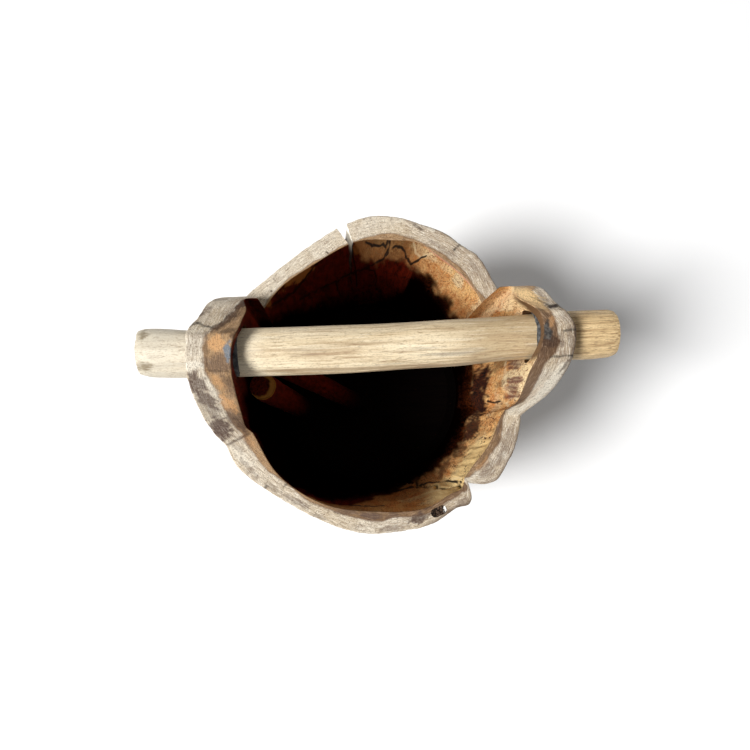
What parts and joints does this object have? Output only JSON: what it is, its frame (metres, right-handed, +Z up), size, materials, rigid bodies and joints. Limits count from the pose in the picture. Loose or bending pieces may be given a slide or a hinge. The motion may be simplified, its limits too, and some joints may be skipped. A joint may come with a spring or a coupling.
{
  "type": "hollowed log bucket",
  "caption": "Bucket hollowed from a fluted natural log, with two ears of its own wall and a round pole through them as the handle.",
  "frame": {"origin": "on the ground, under the middle of the whole part's box", "axes": "+X along the handle pole, +Z up, +Y to the side with the drying split"},
  "size_m": [0.428, 0.3128, 0.388],
  "materials": {
    "log_wood": "bare sawn and weathered, heartwood inside",
    "board_wood": "dark and bare",
    "pole_wood": "debarked and rubbed smooth",
    "putty": "matte",
    "knot_wood": "dark and fibrous",
    "stick_wood": "bark left on, sawn ends"
  },
  "bodies": {
    "bucket": {"trunk_shell": "log_wood", "bottom_board": "board_wood", "handle_pole": "pole_wood", "left_filler": "putty", "right_filler": "putty", "rim_knot": "knot_wood"},
    "thick_stick": {"thick_stick": "stick_wood"},
    "thin_stick": {"thin_stick": "stick_wood"}
  },
  "joints": [
    {"name": "thick_stick_lift", "type": "slide", "parent": "bucket", "child": "thick_stick", "axis": [0.1, -0.28, 0.9548], "range_m": [0, 0.34]},
    {"name": "thin_stick_lift", "type": "slide", "parent": "bucket", "child": "thin_stick", "axis": [0.2001, 0.4302, 0.8803], "range_m": [0, 0.31]}
  ]
}
